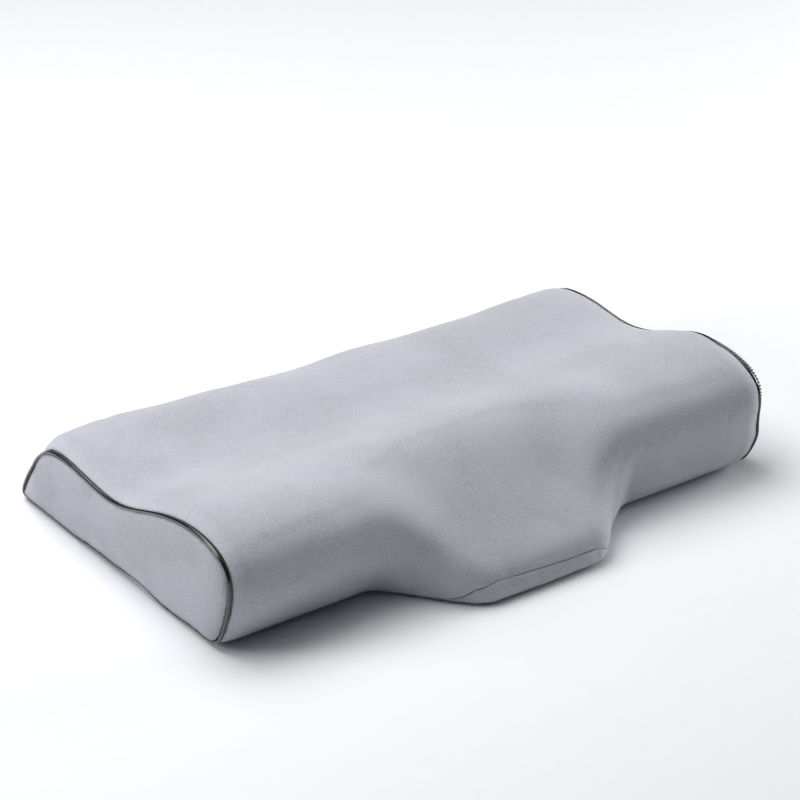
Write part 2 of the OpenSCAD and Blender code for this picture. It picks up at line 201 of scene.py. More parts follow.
def settle(p):
    """Moves points a few millimetres, for what no two ends of a real pillow share."""
    x, y, z = p[..., 0], p[..., 1], p[..., 2]
    seam = end_weight(x)
    left_seam = seam * (x < 0)
    right_tip = smooth((np.abs(x) - 215) / 85) * (x > 0)
    # The tongue: its right flank drawn in, its foot further out
    flank = hump(x, 108, 50) * hump(y, -180, 60) * smooth(z / 15)
    foot = hump(x, 0, 130) * hump(y, FRONT_Y, 40) * (1 - smooth((z - 6) / 22))
    dx = -5 * flank
    dy = -2.5 * foot
    # The front of the right end: drawn in, most of all at its foot
    dx = dx - 6.5 * right_tip * hump(y, -118, 80) * smooth((z - 24) / 40)
    dx = dx - 12 * right_tip * hump(y, -128, 75) * (1 - smooth((z - 2) / 38))
    # The foot of the wings' front: further out on the right, further in on the left
    under = smooth(-(y + 70) / 50) * (1 - smooth((z - 4) / 56))
    dy = dy - 8 * under * smooth((x - 85) / 40) * (1 - smooth((-y - 165) / 25))
    dy = dy + 5 * under * smooth((-x - 110) / 40)
    # The left end: its back corner further out, its front seam further in
    dy = dy + 1.8 * smooth((-x - 272) / 26) * hump(y, 200, 45) * hump(z, 26, 26)
    dy = dy + 2.0 * left_seam * hump(y, WING_Y, 60) * smooth((z - 20) / 40)
    # The crest of the low roll: higher on the left, lower on the right
    crest = smooth((z - 46) / 20) * hump(y, 165, 80)
    left, right = smooth(-x / 200), smooth((x - 60) / 160)
    dz = crest * (left * (7 - 8 * seam) - right * 5)
    # The ends of the high roll: higher on the right, lower along the left seam
    dz = dz + 2 * right_tip * hump(y, -60, 60) * smooth((z - 46) / 20)
    dz = dz - 2.2 * left_seam * hump(y, -90, 80) * smooth((z - 40) / 40)
    # The foot of both ends: off the floor in waves
    near_end = smooth((np.abs(x) - 255) / 45)
    wave = 2.6 + 2.0 * np.sin(y / 26 + 0.6) + 1.4 * np.sin(y / 14 + 2)
    low = 1 - smooth(z / 32)
    dz = dz + near_end * np.maximum(wave, 0) * low * hump(y, 10, 200)
    return p + np.stack([dx, dy, dz], -1)


def surface(x, u, depth=0.0):
    """Points (n, m, 3) over stations x (n,) and places u (n, m)."""
    yz = on_loop(section(x, depth), u)
    xs = np.broadcast_to(x[:, None, None], (*u.shape, 1))
    return settle(np.concatenate([xs, yz], -1))


LIP_STATIONS = (-TONGUE_HALF - TONGUE_BLEND, -100, -76, -58, 20)
LIP_SHARES = (0, 0.34, 0.95, 1.09, 1)


def lip_share(x):
    """How high the lip seam runs: 0 at the foot, 1 across the tongue. It is steeper and
    a little higher on the left, and straight on the right."""
    right = np.clip(1 - (x - TONGUE_HALF) / TONGUE_BLEND, 0, 1)
    left = np.interp(x, LIP_STATIONS, LIP_SHARES)
    return np.where(x > LIP_STATIONS[-1], right, left)


def u_front(x):
    """Place of the cover top's front edge."""
    return U_BOTTOM_FRONT - (U_BOTTOM_FRONT - U_LIP) * lip_share(x)


# ---- Irregularity ----------------------------------------------------------


class Waves:
    """A fixed sum of plane waves in space, about -1 to 1."""

    def __init__(self, seed, count, shortest, longest):
        rng = np.random.default_rng(seed)
        direction = rng.normal(size=(count, 3))
        direction /= np.linalg.norm(direction, axis=1, keepdims=True)
        self.k = direction * (2 * np.pi / rng.uniform(shortest, longest, count))[:, None]
        self.phase = rng.uniform(0, 2 * np.pi, count)

    def at(self, p):
        return np.sin(p @ self.k.T + self.phase).sum(-1) / math.sqrt(len(self.phase))


SOFT = Waves(3, 16, 70, 150)
PUCKER = Waves(5, 16, 9, 22)
FADE = Waves(8, 10, 60, 120)


def seam_roll(s, reach, depth):
    """How far fabric turns in at a distance s from its seam."""
    return depth * (1 - np.sqrt(1 - np.clip(1 - s / reach, 0, 1) ** 2))


def seam_pucker(s, seam, reach, height):
    """Gathers that start at the seam points and fade at a distance of reach."""
    strength = 0.35 + 0.65 * smooth(0.5 + FADE.at(seam))
    return height * strength * PUCKER.at(seam) * np.exp(-s / reach) * smooth(s / 2)


# ---- Meshes ----------------------------------------------------------------


def new_object(name, verts, faces, body="pillow", merge=False):
    mesh = bpy.data.meshes.new(name)
    mesh.from_pydata((np.asarray(verts).reshape(-1, 3) * MM).tolist(), [], faces)
    if merge:
        b = bmesh.new()
        b.from_mesh(mesh)
        bmesh.ops.remove_doubles(b, verts=b.verts, dist=1e-7)
        b.to_mesh(mesh)
        b.free()
    mesh.update()
    mesh.shade_smooth()
    obj = bpy.data.objects.new(name, mesh)
    bpy.context.collection.objects.link(obj)
    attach(obj, body)
    return obj


def grid_faces(n, m, wrap=False, close=False):
    """Faces of an n by m grid. wrap joins its last column to the first, close its last row."""
    faces = []
    for j in range(n if close else n - 1):
        below = (j + 1) % n
        for i in range(m if wrap else m - 1):
            k = (i + 1) % m
            faces.append((j * m + i, j * m + k, below * m + k, below * m + i))
    return faces


def reverse(faces):
    return [f[::-1] for f in faces]


def normals(p, wrap=False):
    a = np.gradient(p, axis=0)
    b = np.roll(p, -1, 1) - np.roll(p, 1, 1) if wrap else np.gradient(p, axis=1)
    n = np.cross(b, a)
    return n / (np.linalg.norm(n, axis=-1, keepdims=True) + 1e-12)


def sheet(name, p, thickness, flip=False, wrap=False, middle=None):
    """Fabric with its outside on grid p. middle is the normal where the first row is one point."""
    n = normals(p, wrap) * (-1 if flip else 1)
    if middle is not None:
        n[0] = middle
    inner = p - n * thickness
    rows, cols = p.shape[:2]
    size = rows * cols
    outside = grid_faces(rows, cols, wrap)
    faces = outside + [tuple(size + i for i in f[::-1]) for f in outside]
    last = (rows - 1) * cols
    if wrap:
        rim = [last + i for i in range(cols)]
    else:
        rim = [i * cols for i in range(rows)]
        rim += [last + i for i in range(1, cols)]
        rim += [i * cols + cols - 1 for i in range(rows - 2, -1, -1)]
        rim += list(range(cols - 2, 0, -1))
        rim.reverse()
    for a, b in zip(rim, rim[1:] + rim[:1]):
        faces.append((b, a, a + size, b + size))
    verts = np.concatenate([p.reshape(-1, 3), inner.reshape(-1, 3)])
    return new_object(name, verts, reverse(faces) if flip else faces, merge=middle is not None)


def spread(a, b, n, ends=1.0):
    """n numbers from a to b, closer together near the ends."""
    t = np.linspace(0, 1, n)
    t = (1 - ends) * t + ends * (1 - np.cos(np.pi * t)) / 2
    return a + (b - a) * t


def arc_length(p, axis):
    d = np.linalg.norm(np.diff(p, axis=axis), axis=-1)
    zero = np.zeros_like(np.take(d, [0], axis=axis))
    return np.concatenate([zero, np.cumsum(d, axis=axis)], axis=axis)


# ---- Cloth -----------------------------------------------------------------


class Slack:
    """How the cover's cloth moves off the foam when it is simulated, as a grid of offsets
    over stations x and places u. The piping, the seams, the zip and the foot hold it."""

    STATIONS, ROUND, LAST_FRAME = 141, 180, 20
    MOST_OUT, MOST_IN, END_FADE = 1.2, -0.15, 45

    def __init__(self):
        self.x = spread(-HALF_LENGTH, HALF_LENGTH, self.STATIONS, 0.5)
        u = np.linspace(0, COUNT, self.ROUND, endpoint=False)
        u = np.broadcast_to(u, (self.STATIONS, self.ROUND))
        start = surface(self.x, u)
        self.offset = np.zeros_like(start)
        out = normals(start, wrap=True)
        moved = ((self.simulate(start, self.held(u)) - start) * out).sum(-1)
        limited = self.MOST_OUT * np.tanh(moved / self.MOST_OUT)
        free = smooth((COVER_EDGE - np.abs(self.x)) / self.END_FADE)[:, None]
        self.offset = out * (np.maximum(limited, self.MOST_IN) * free)[..., None]

    def held(self, u):
        """1 at the points that a seam, the zip or the floor holds."""
        ends = np.abs(self.x)[:, None] > COVER_EDGE - 1
        lip = np.abs(u - u_front(self.x)[:, None]) < 0.12
        lip &= np.abs(self.x)[:, None] < TONGUE_HALF + TONGUE_BLEND
        foot = (u > U_BOTTOM_FRONT - 0.3) | (u < U_BOTTOM_BACK + 0.5)
        zipped = np.abs(u - U_ZIP) < 1.1
        return ends | lip | foot | zipped

    def simulate(self, start, held):
        rows, cols = held.shape
        caps = [start[0].mean(0), start[-1].mean(0)]
        verts = np.concatenate([start.reshape(-1, 3), caps])
        faces = grid_faces(rows, cols, wrap=True)
        last = (rows - 1) * cols
        for i in range(cols):
            k = (i + 1) % cols
            faces.append((k, i, rows * cols))
            faces.append((last + i, last + k, rows * cols + 1))
        obj = new_object("cover_cloth", verts, faces)
        pin = obj.vertex_groups.new(name="pin")
        pinned = [int(i) for i in np.flatnonzero(held)] + [rows * cols, rows * cols + 1]
        pin.add(pinned, 1.0, "REPLACE")
        cloth = obj.modifiers.new("cloth", "CLOTH")
        cloth.collision_settings.use_collision = False
        cloth.point_cache.frame_end = self.LAST_FRAME
        fabric = cloth.settings
        fabric.quality = 6
        fabric.mass = 0.25
        fabric.tension_stiffness = 18
        fabric.compression_stiffness = 18
        fabric.shear_stiffness = 6
        fabric.bending_stiffness = 0.4
        fabric.vertex_group_mass = "pin"
        fabric.shrink_min = -0.008
        fabric.use_pressure = True
        fabric.uniform_pressure_force = 4
        fabric.effector_weights.gravity = 0
        scene = bpy.context.scene
        for frame_number in range(1, self.LAST_FRAME + 1):
            scene.frame_set(frame_number)
        posed = obj.evaluated_get(bpy.context.evaluated_depsgraph_get())
        flat = np.empty(len(posed.data.vertices) * 3, np.float32)
        posed.data.vertices.foreach_get("co", flat)
        bpy.data.objects.remove(obj)
        scene.frame_set(1)
        return flat.reshape(-1, 3)[:rows * cols].reshape(rows, cols, 3) / MM

    def at(self, x, u):
        """Offsets (n, m, 3) at stations x (n,) and places u (n, m)."""
        fx = np.interp(x, self.x, np.arange(self.STATIONS))
        fx = np.broadcast_to(fx[:, None], u.shape)
        fu = (u % COUNT) / COUNT * self.ROUND
        i = np.minimum(np.floor(fx).astype(int), self.STATIONS - 2)
        k = np.floor(fu).astype(int)
        a, b = (fx - i)[..., None], (fu - k)[..., None]
        k, after = k % self.ROUND, (k + 1) % self.ROUND
        low = (1 - b) * self.offset[i, k] + b * self.offset[i, after]
        high = (1 - b) * self.offset[i + 1, k] + b * self.offset[i + 1, after]
        return (1 - a) * low + a * high


# ---- Cover -----------------------------------------------------------------
COVER_EDGE = HALF_LENGTH - PIPING_R + 0.2
ALONG = spread(-COVER_EDGE, COVER_EDGE, 260, 0.75)
# Half the opening over the zip along the pillow, in u: it closes to a point at both ends
SLOT_REACH, SLOT_TAPER = 272.5, 5.0
SLOT = ZIP_SLOT / 2 / BACK_STEP * smooth((SLOT_REACH - np.abs(ALONG)) / SLOT_TAPER)
WELT_REACH, WELT_TAPER = 262.0, 10.0
SOFTNESS = 0.55
slack = Slack()


def cover_surface(x, u):
    """The cover's outside, as its cloth settles on the foam."""
    return surface(x, u) + slack.at(x, u)


def dress(p, front=True, back=True, slot=None):
    """Softens a cover grid and turns it in at its seams. slot is the edge along the zip."""
    out = normals(p)
    across = arc_length(p, 1)
    along = arc_length(p, 0)
    move = SOFTNESS * SOFT.at(p) * smooth(p[..., 2] / 20)
    for end in (0, -1):
        s = np.abs(along - along[end])
        move -= seam_roll(s, 4, 1.5)
        move += seam_pucker(s, p[[end]], 9, 0.4)
    for end, sewn in ((0, back), (-1, front)):
        if sewn:
            s = np.abs(across - across[:, [end]])
            move -= seam_roll(s, 5, 2.0)
            move += seam_pucker(s, p[:, [end]], 10, 0.45) * smooth(p[..., 2] / 8)
    if slot is not None:
        s = np.abs(across - across[:, [slot]])
        inside = smooth((WELT_REACH - np.abs(p[..., 0])) / WELT_TAPER)
        welt = 0.35 * hump(s, 1.8, 1.8) - 0.3 * hump(s, 3.6, 1.2)
        quiet = smooth((s - 8) / 20)
        move = move * (1 - inside * (1 - quiet)) + inside * welt
    return p + out * move[..., None]


def make_cover_top():
    t = spread(0, 1, 178, 0.7)
    u0 = U_ZIP + SLOT
    u = u0[:, None] + (u_front(ALONG) - u0)[:, None] * t
    p = dress(cover_surface(ALONG, u), back=False, slot=0)
    return sheet("cover_top", p, COVER_T)


def make_back_band():
    t = spread(0, 1, 44, 0.5)
    u = U_BOTTOM_BACK + (U_ZIP - SLOT - U_BOTTOM_BACK)[:, None] * t
    p = dress(cover_surface(ALONG, u), front=False, slot=-1)
    return sheet("cover_back_band", p, COVER_T)


def make_gusset():
    reach = TONGUE_HALF + TONGUE_BLEND - 2
    x = spread(-reach, reach, 300, 0.3)
    t = spread(0, 1, 28, 0.5)
    u0 = u_front(x)
    u = u0[:, None] + (U_BOTTOM_FRONT - u0)[:, None] * t
    p = cover_surface(x, u)
    out = normals(p)
    across = arc_length(p, 1)
    rest = across[:, [-1]] - across
    width = np.minimum(across[:, [-1]] / 12, 1)
    move = SOFTNESS * SOFT.at(p) * smooth(p[..., 2] / 20)
    move -= (seam_roll(across, 4, 1.6) + seam_roll(rest, 4, 1.6)) * width
    move += seam_pucker(across, p[:, [0]], 12, 0.7) * width
    return sheet("front_gusset", p + out * move[..., None], COVER_T)


def make_cover_bottom():
    t = spread(0, 1, 72, 0.6)
    u = U_BOTTOM_FRONT + (COUNT + U_BOTTOM_BACK - U_BOTTOM_FRONT) * t
    p = surface(ALONG, np.broadcast_to(u, (len(ALONG), len(u))).copy())
    across = arc_length(p, 1)
    along = arc_length(p, 0)
    move = seam_roll(np.minimum(across, across[:, [-1]] - across), 5, 1.0)
    move += seam_roll(np.minimum(along, along[[-1]] - along), 4, 1.2)
    p[..., 2] = np.maximum(p[..., 2], 0) + move
    return sheet("cover_bottom", p, COVER_T)


def outline(side, depth, count, x=HALF_LENGTH):
    """Closed ring (count, 3) round an end at a depth inside the skin, evenly spaced."""
    u = np.linspace(0, COUNT, 4 * count, endpoint=False)[None, :]
    ring = surface(np.array([side * x]), u, depth)[0]
    ring = np.concatenate([ring, ring[:1]])
    s = arc_length(ring, 0)
    even = np.linspace(0, s[-1], count, endpoint=False)
    return np.stack([np.interp(even, s, ring[:, k]) for k in range(3)], -1), s[-1]


END_MIDDLE = np.array([10.0, 45.0])
DOME_REACH = 34.0


def make_end_panel(side):
    name = "left_end_panel" if side < 0 else "right_end_panel"
    rim, _ = outline(side, PIPING_R - 0.1, 480)
    share = spread(0, 2, 111, 0.75)[:56][:, None, None]
    yz = END_MIDDLE + share * (rim[None, :, 1:] - END_MIDDLE)
    near = np.full(yz.shape[:2], 1e9)
    for q in rim[::2, 1:]:
        near = np.minimum(near, ((yz - q) ** 2).sum(-1))
    near = np.sqrt(near)
    rise = END_DOME * np.sqrt(1 - (1 - np.clip(near / DOME_REACH, 0, 1)) ** 2)
    rise -= seam_roll(near, 3, 1.2)
    p = np.concatenate([np.full((*near.shape, 1), side * HALF_LENGTH), yz], -1)
    seam = np.broadcast_to(rim, p.shape)
    rise += 0.35 * SOFT.at(p) * smooth(near / 15)
    rise += seam_pucker(near, seam, 9, 0.4) * smooth(share[..., 0] * 2 - 1)
    # One crease runs up from the back corner, and a shallow one along the foot
    y, z = p[..., 1], p[..., 2]
    crease = (z - 4) - 0.75 * (y - 150)
    rise += 1.1 * hump(crease, 0, 7) * hump(y, 170, 26) * smooth(near / 5)
    rise += 0.7 * hump(z - 12 - 3 * np.sin(y / 40), 0, 7) * hump(y, 20, 130)
    p[..., 0] += side * rise
    return sheet(name, p, COVER_T, flip=side > 0, wrap=True, middle=(side, 0, 0))


# ---- Piping ----------------------------------------------------------------


def ring_frame(path):
    """Unit vectors out of the section, square to a closed path."""
    d = np.roll(path, -1, 0) - np.roll(path, 1, 0)
    d /= np.linalg.norm(d, axis=1, keepdims=True)
    out = np.cross(np.broadcast_to((1.0, 0, 0), d.shape), d)
    return -out / np.linalg.norm(out, axis=1, keepdims=True)


def closed_sweep(path, out, side, profile):
    """Grid (n, m, 3): a profile of (out, x) points carried round a closed path."""
    p = path[:, None, :] + profile[..., 0:1] * out[:, None, :]
    p[..., 0] += side * profile[..., 1]
    return p


def add_strip_uv(obj, rows, cols, length, girth):
    """A UV map in millimetres: along the strip, and round it."""
    layer = obj.data.uv_layers.new(name="strip")
    for poly in obj.data.polygons:
        for loop, v in zip(poly.loop_indices, poly.vertices):
            j, i = divmod(v % (rows * cols), cols)
            layer.data[loop].uv = (j / rows * length, i / cols * girth)


def make_binding(side):
    name = ("left" if side < 0 else "right") + "_piping_binding"
    path, length = outline(side, PIPING_DEPTH, 900)
    out = ring_frame(path)
    seam = path.copy()
    radius = PIPING_R * (1 + 0.025 * PUCKER.at(seam))[:, None]
    a = np.radians(np.linspace(160, -160, 22))
    lobe = np.stack([np.cos(a), np.sin(a)], -1)[None] * radius[..., None]
    tail = np.array([(-PIPING_R - 2.4, -0.5), (-PIPING_R - 2.4, 0.5)])
    profile = np.concatenate([lobe, np.broadcast_to(tail, (len(path), 2, 2))], 1)
    turn = math.radians(45)
    spin = np.array([[math.cos(turn), math.sin(turn)], [-math.sin(turn), math.cos(turn)]])
    p = closed_sweep(path, out, side, profile @ spin)
    faces = grid_faces(len(path), p.shape[1], wrap=True, close=True)
    obj = new_object(name, p, faces if side > 0 else reverse(faces))
    add_strip_uv(obj, len(path), p.shape[1], length, 2 * math.pi * PIPING_R)
    return obj


def make_piping_cord(side):
    """Three strands twisted together, in the middle of the binding."""
    name = ("left" if side < 0 else "right") + "_piping_cord"
    lay, samples, strand_place, strand_r = 7, 14, 0.55, 0.6
    _, length = outline(side, PIPING_DEPTH, 50)
    turns = round(length / lay)
    path, _ = outline(side, PIPING_DEPTH, turns * samples)
    out = ring_frame(path)
    twist = np.linspace(0, 2 * math.pi * turns, len(path), endpoint=False)
    ring = np.linspace(0, 2 * math.pi, 6, endpoint=False)
    verts, faces = [], []
    for k in range(3):
        a = twist + 2 * math.pi * k / 3
        centre = strand_place * np.stack([np.cos(a), np.sin(a)], -1)
        profile = centre[:, None] + strand_r * np.stack([np.cos(ring), np.sin(ring)], -1)
        p = closed_sweep(path, out, side, profile)
        start = k * len(path) * len(ring)
        strand = grid_faces(len(path), len(ring), wrap=True, close=True)
        faces += [tuple(start + i for i in f[::side]) for f in strand]
        verts.append(p.reshape(-1, 3))
    return new_object(name, np.concatenate(verts), reverse(faces))


# ---- Inside ----------------------------------------------------------------
INNER_EDGE = HALF_LENGTH - END_ROLL * 0.4
INNER_BULGE = END_DOME + HALF_LENGTH - INNER_EDGE - COVER_T - LAYER_GAP


def make_liner_top():
    x = spread(-INNER_EDGE, INNER_EDGE, 150, 0.4)
    t = spread(0, 1, 130, 0.2)
    u = U_BOTTOM_BACK + (U_BOTTOM_FRONT - U_BOTTOM_BACK) * t
    u = np.broadcast_to(u, (len(x), len(t)))
    return sheet("liner_top", surface(x, u, LINER_DEPTH), LINER_T)


def make_liner_bottom():
    x = spread(-INNER_EDGE, INNER_EDGE, 120, 0.2)
    ends = np.array([[U_BOTTOM_FRONT, COUNT + U_BOTTOM_BACK]])
    y = on_loop(section(x), np.repeat(ends, len(x), 0))[..., 0]
    y0, y1 = y[:, :1] + 2, y[:, 1:] - 2
    y = y0 + (y1 - y0) * np.linspace(0, 1, 60)
    xs = np.broadcast_to(x[:, None], y.shape)
    lift = 2.6 * smooth((np.abs(xs) - 270) / 22)
    p = np.stack([xs, y, np.full_like(y, LINER_DEPTH) + lift], -1)
    return sheet("liner_bottom", p, LINER_T)


def dome(side, depth, bulge, rings, around):
    """Grid over an end of an inner layer: rings from its middle to its rim."""
    rim, _ = outline(side, depth, around, INNER_EDGE)
    share = np.linspace(0, 1, rings)[:, None]
    yz = END_MIDDLE + share[..., None] * (rim[None, :, 1:] - END_MIDDLE)
    x = side * (INNER_EDGE + bulge * (1 - share**2))
    return np.concatenate([np.broadcast_to(x, yz.shape[:2])[..., None], yz], -1)


def make_liner_end(side):
    name = "liner_left_end" if side < 0 else "liner_right_end"
    p = dome(side, LINER_DEPTH + LINER_T + 0.1, INNER_BULGE, 30, 160)
    return sheet(name, p, LINER_T, flip=side > 0, wrap=True, middle=(side, 0, 0))


def make_foam_core():
    bulge = INNER_BULGE - LINER_T - LAYER_GAP - 0.9
    shoulder = INNER_EDGE - 1
    around, rings = 220, 26
    x = spread(-shoulder, shoulder, 170, 0.4)
    u = np.broadcast_to(np.linspace(0, COUNT, around, endpoint=False), (len(x), around))
    body = surface(x, u, FOAM_DEPTH)
    caps = []
    for side in (-1, 1):
        rim = body[0 if side < 0 else -1]
        share = np.sin(np.linspace(0, math.pi / 2, rings, endpoint=False))[:, None]
        yz = END_MIDDLE + share[..., None] * (rim[None, :, 1:] - END_MIDDLE)
        xs = side * (shoulder + bulge * (1 - share**2))
        cap = np.concatenate([np.broadcast_to(xs, yz.shape[:2])[..., None], yz], -1)
        caps.append(cap if side < 0 else cap[::-1])
    p = np.concatenate([caps[0], body, caps[1]])
    faces = grid_faces(len(p), around, wrap=True)
    return new_object("foam_core", p, faces, merge=True)


# ---- Zip -------------------------------------------------------------------
# Places are (x, y, z) in the zip's own frame: x along it, y down the back
# face, z outward, with z = 0 on the outside of the cover.
TAPE_TOP, TAPE_T, TAPE_W, TAPE_GAP, TAPE_REACH = -1.35, 0.5, 12.0, 1.4, 270.0
ZIP_FROM, ZIP_TO = -257.9, 259.9


def zip_frame(p):
    """Carries points from the zip's own frame to the pillow's."""
    c, s = math.cos(BACK_SLOPE), math.sin(BACK_SLOPE)
    y = ZIP_MID[0] + p[..., 1] * c + p[..., 2] * s
    z = ZIP_MID[1] - p[..., 1] * s + p[..., 2] * c
    return np.stack([p[..., 0], y, z], -1)


def zip_side(side):
    return "upper" if side < 0 else "lower"


def make_tape(side):
    relief = 0.06
    x = np.linspace(-TAPE_REACH, TAPE_REACH, 361)
    y = side * (TAPE_GAP / 2 + spread(0, TAPE_W, 17, 0.3))
    xs, ys = np.meshgrid(x, y, indexing="ij")
    cord = relief * hump(np.abs(ys), 5.2, 0.9) + 0.02 * np.sin(xs / 3.1 + ys)
    p = zip_frame(np.stack([xs, ys, TAPE_TOP - relief + cord], -1))
    return sheet("zip_tape_" + zip_side(side), p, TAPE_T - relief, flip=side > 0)


def tube(path, radius, sides):
    """Open tube of points (n, sides, 3) along a path, in any frame."""
    d = np.gradient(path, axis=0)
    d /= np.linalg.norm(d, axis=1, keepdims=True)
    a = np.cross(d, (1.0, 0.02, 0.01))
    a /= np.linalg.norm(a, axis=1, keepdims=True)
    b = np.cross(d, a)
    t = np.linspace(0, 2 * math.pi, sides, endpoint=False)[:, None]
    return path[:, None] + radius * (np.cos(t) * a[:, None] + np.sin(t) * b[:, None])


def capped(rings, sides):
    """Faces of a tube with a flat cap at both ends."""
    first = tuple(range(sides))[::-1]
    last = tuple((rings - 1) * sides + i for i in range(sides))
    return grid_faces(rings, sides, wrap=True) + [first, last]


def make_coil(side):
    """One side's teeth: a single filament wound round and round."""
    pitch, samples, wire, wire_sides = 1.5, 14, 0.29, 6
    middle, half_width, level, half_height = 1.66, 0.95, -0.35, 0.62
    turns = int((ZIP_TO - ZIP_FROM - 2) / pitch)
    a = np.linspace(0, 2 * math.pi * turns, turns * samples)
    head = 1 + 0.12 * np.cos(2 * a)
    x = ZIP_FROM + 1 + a / (2 * math.pi) * pitch + 0.16 * np.sin(2 * a)
    if side > 0:
        x = x + pitch / 2
    y = side * (middle - half_width * np.cos(a))
    z = level + half_height * np.sin(a) * head
    p = zip_frame(tube(np.stack([x, y, z], -1), wire, wire_sides))
    faces = capped(len(a), wire_sides)
    return new_object("zip_coil_" + zip_side(side), p, faces)


def stitch_row(name, y, z, length, pitch, radius, first, last, across=False):
    """A row of thread stitches in the zip's frame, each bowed up between its two holes."""
    sides, rings, bow, taper = 6, 7, 0.25, 0.92
    t = np.linspace(-1, 1, rings)
    thick = radius * np.sqrt(1 - taper * t**2)
    ring = np.linspace(0, 2 * math.pi, sides, endpoint=False)
    verts, faces = [], []
    for k, x in enumerate(np.arange(first, last, pitch)):
        along = np.broadcast_to((t * length / 2)[:, None], (rings, sides))
        wide = thick[:, None] * np.cos(ring)
        high = z - bow * (t**2)[:, None] + thick[:, None] * np.sin(ring)
        if across:
            p = np.stack([x + wide, y + along, high], -1)
        else:
            p = np.stack([x + along, y + wide, high], -1)
        start = k * rings * sides
        faces += [tuple(start + i for i in f) for f in capped(rings, sides)]
        verts.append(zip_frame(p).reshape(-1, 3))
    return new_object(name, np.concatenate(verts), faces)


def bevel(node, width):
    """Rounds the edges of a CAD part for the eye. Its own mesh stays as it is."""
    obj = frame["nodes"][node]
    weld = obj.modifiers.new("weld", "WELD")
    weld.merge_threshold = 1e-6
    edge = obj.modifiers.new("edge", "BEVEL")
    edge.width = width * MM
    edge.segments = 3
    edge.limit_method = "ANGLE"
    edge.angle_limit = math.radians(30)
    edge.harden_normals = True
    return obj


cover = make_cover_top()
band = make_back_band()
gusset = make_gusset()
bottom = make_cover_bottom()
ends = [make_end_panel(s) for s in (-1, 1)]
bindings = [make_binding(s) for s in (-1, 1)]
cords = [make_piping_cord(s) for s in (-1, 1)]
foam = make_foam_core()
liner_top = make_liner_top()
liner_bottom = make_liner_bottom()
liner_ends = [make_liner_end(s) for s in (-1, 1)]
tapes = [make_tape(s) for s in (-1, 1)]
coils = [make_coil(s) for s in (-1, 1)]
STITCH_Y = ZIP_SLOT / 2 + 3.6
topstitch = [
    stitch_row("zip_topstitch_" + zip_side(s), s * STITCH_Y, z=0.12, length=2.7,
               pitch=3.3, radius=0.26, first=-266, last=267)
    for s in (-1, 1)
]
coil_stitch = [
    stitch_row("zip_coil_stitch_" + zip_side(s), s * 2.1, z=0.52, length=1.5,
               pitch=1.5, radius=0.14, first=-256, last=245)
    for s in (-1, 1)
]
tacks = [
    stitch_row("zip_tack_" + name, 0, z=0.3, length=11.5,
               pitch=0.55, radius=0.26, first=x - 1.4, last=x + 1.4, across=True)
    for name, x in (("left", -268.5), ("right", 268.5))
]
stops = bevel("zip_end_stops", 0.35)
slider = bevel("zip_slider", 0.3)
pull = bevel("zip_pull", 0.3)

# ---- Materials -------------------------------------------------------------


class Shader:
    """A material built from nodes, one call a node."""

    def __init__(self, name, roughness, **values):
        self.material = bpy.data.materials.new(name)
        self.material.use_nodes = True
        self.tree = self.material.node_tree
        self.bsdf = self.tree.nodes["Principled BSDF"]
        self.bsdf.inputs["Roughness"].default_value = roughness
        for key, value in values.items():
            self.bsdf.inputs[key.replace("_", " ")].default_value = value

    def add(self, kind, inputs=None, output=0, **settings):
        node = self.tree.nodes.new("ShaderNode" + kind)
        for key, value in settings.items():
            setattr(node, key, value)
        for key, value in (inputs or {}).items():
            if isinstance(value, bpy.types.NodeSocket):
                self.tree.links.new(value, node.inputs[key])
            else:
                node.inputs[key].default_value = value
        return node.outputs[output]

    def place(self, scale=(1, 1, 1), turn=(0, 0, 0)):
        """Object coordinates in millimetres, turned and then scaled."""
        where = self.add("TexCoord", output="Object")
        size = [1000 * s for s in scale]
        angles = [math.radians(a) for a in turn]
        return self.add("Mapping", {"Vector": where, "Scale": size, "Rotation": angles})

    def math(self, operation, a, b=0.0):
        return self.add("Math", {0: a, 1: b}, operation=operation)

    def noise(self, where, scale, detail=2.0, roughness=0.5):
        return self.add("TexNoise", {
            "Vector": where, "Scale": scale, "Detail": detail, "Roughness": roughness,
        })

    def pebbles(self, where, scale):
        return self.add("TexVoronoi", {"Vector": where, "Scale": scale})

    def ramp(self, factor, low, high):
        """0 where the factor is low, 1 where it is high, smooth between."""
        return self.add("MapRange", {
            "Value": factor, "From Min": low, "From Max": high,
        }, interpolation_type="SMOOTHSTEP")

    def mix(self, factor, a, b):
        return self.add("Mix", {"Factor": factor, 6: a, 7: b}, output=2, data_type="RGBA")

    def bump(self, height, strength, distance, normal=None):
        inputs = {"Height": height, "Strength": strength, "Distance": distance * MM}
        if normal is not None:
            inputs["Normal"] = normal
        return self.add("Bump", inputs)

    def finish(self, colour, normal, roughness=None):
        links = self.tree.links
        links.new(colour, self.bsdf.inputs["Base Color"])
        links.new(normal, self.bsdf.inputs["Normal"])
        if roughness is not None:
            links.new(roughness, self.bsdf.inputs["Roughness"])
        return self.material


def rgb(r, g, b):
    return (r, g, b, 1.0)


def scaled(colour, k):
    return rgb(*(c * k for c in colour[:3]))


